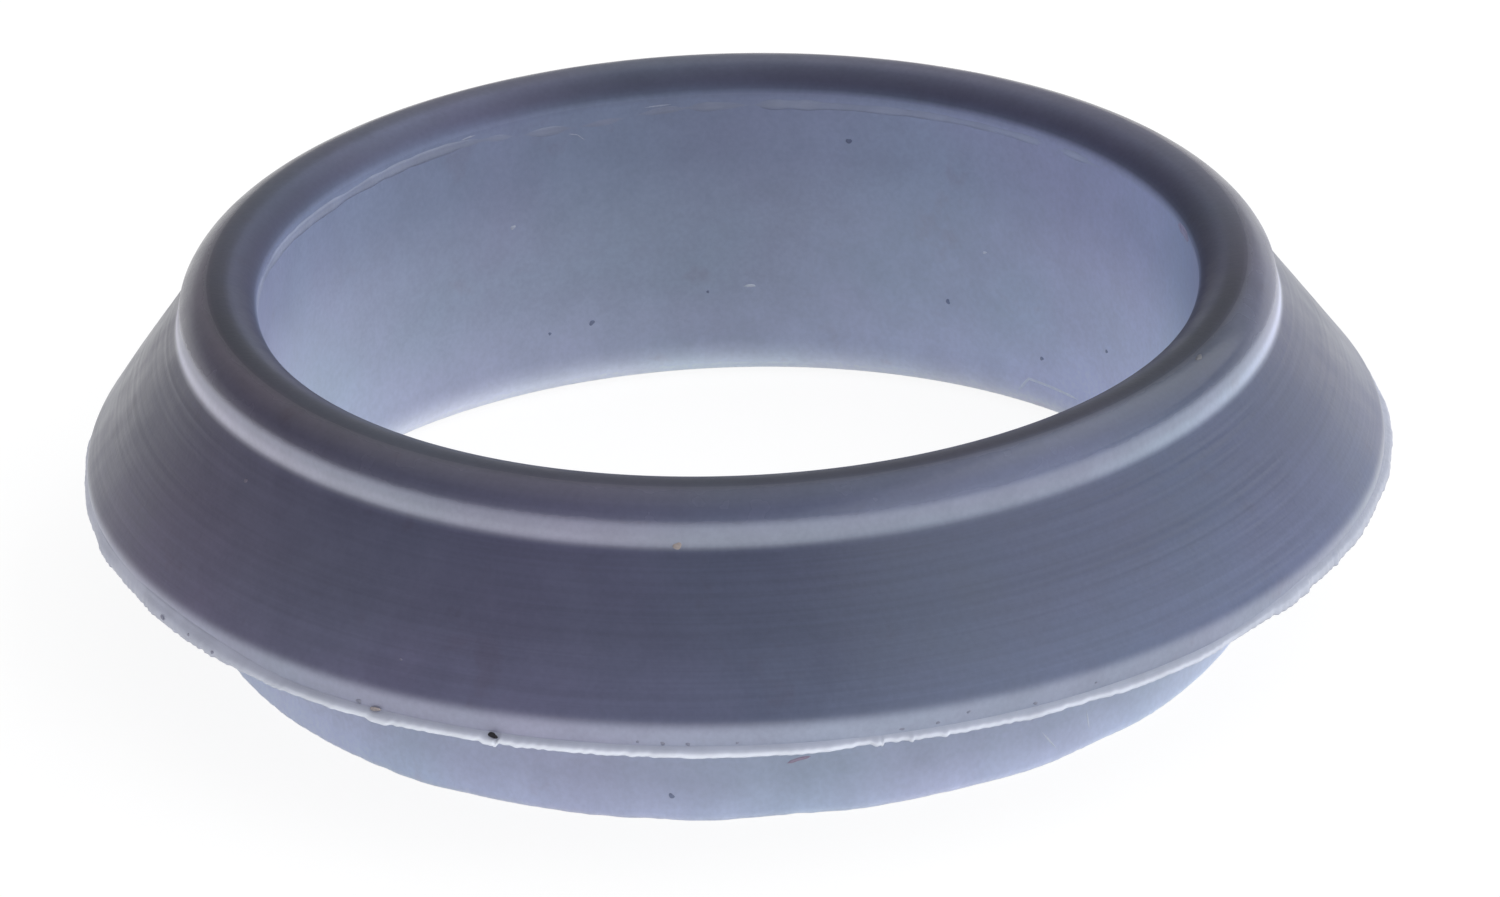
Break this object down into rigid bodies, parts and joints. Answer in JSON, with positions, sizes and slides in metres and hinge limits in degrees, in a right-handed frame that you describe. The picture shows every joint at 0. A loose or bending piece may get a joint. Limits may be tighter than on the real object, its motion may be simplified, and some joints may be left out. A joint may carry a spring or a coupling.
{
  "type": "egr tube gasket",
  "caption": "Moulded rubber ring with a straight bore, a crowned rim, a wide sealing cone with a thin lip, and a narrower collar below, for sealing a tube in its port.",
  "frame": {"origin": "centre of the flat bottom face of the collar, on the axis of the bore", "axes": "+Z along the axis of the bore, from the collar up to the crowned rim; X and Y are any two radial directions"},
  "size_m": [0.0266, 0.0266, 0.0071],
  "materials": {
    "moulded_rubber": "semi-matt grey-blue moulded silicone rubber"
  },
  "bodies": {
    "root": {"gasket_ring": "moulded_rubber"}
  },
  "joints": []
}
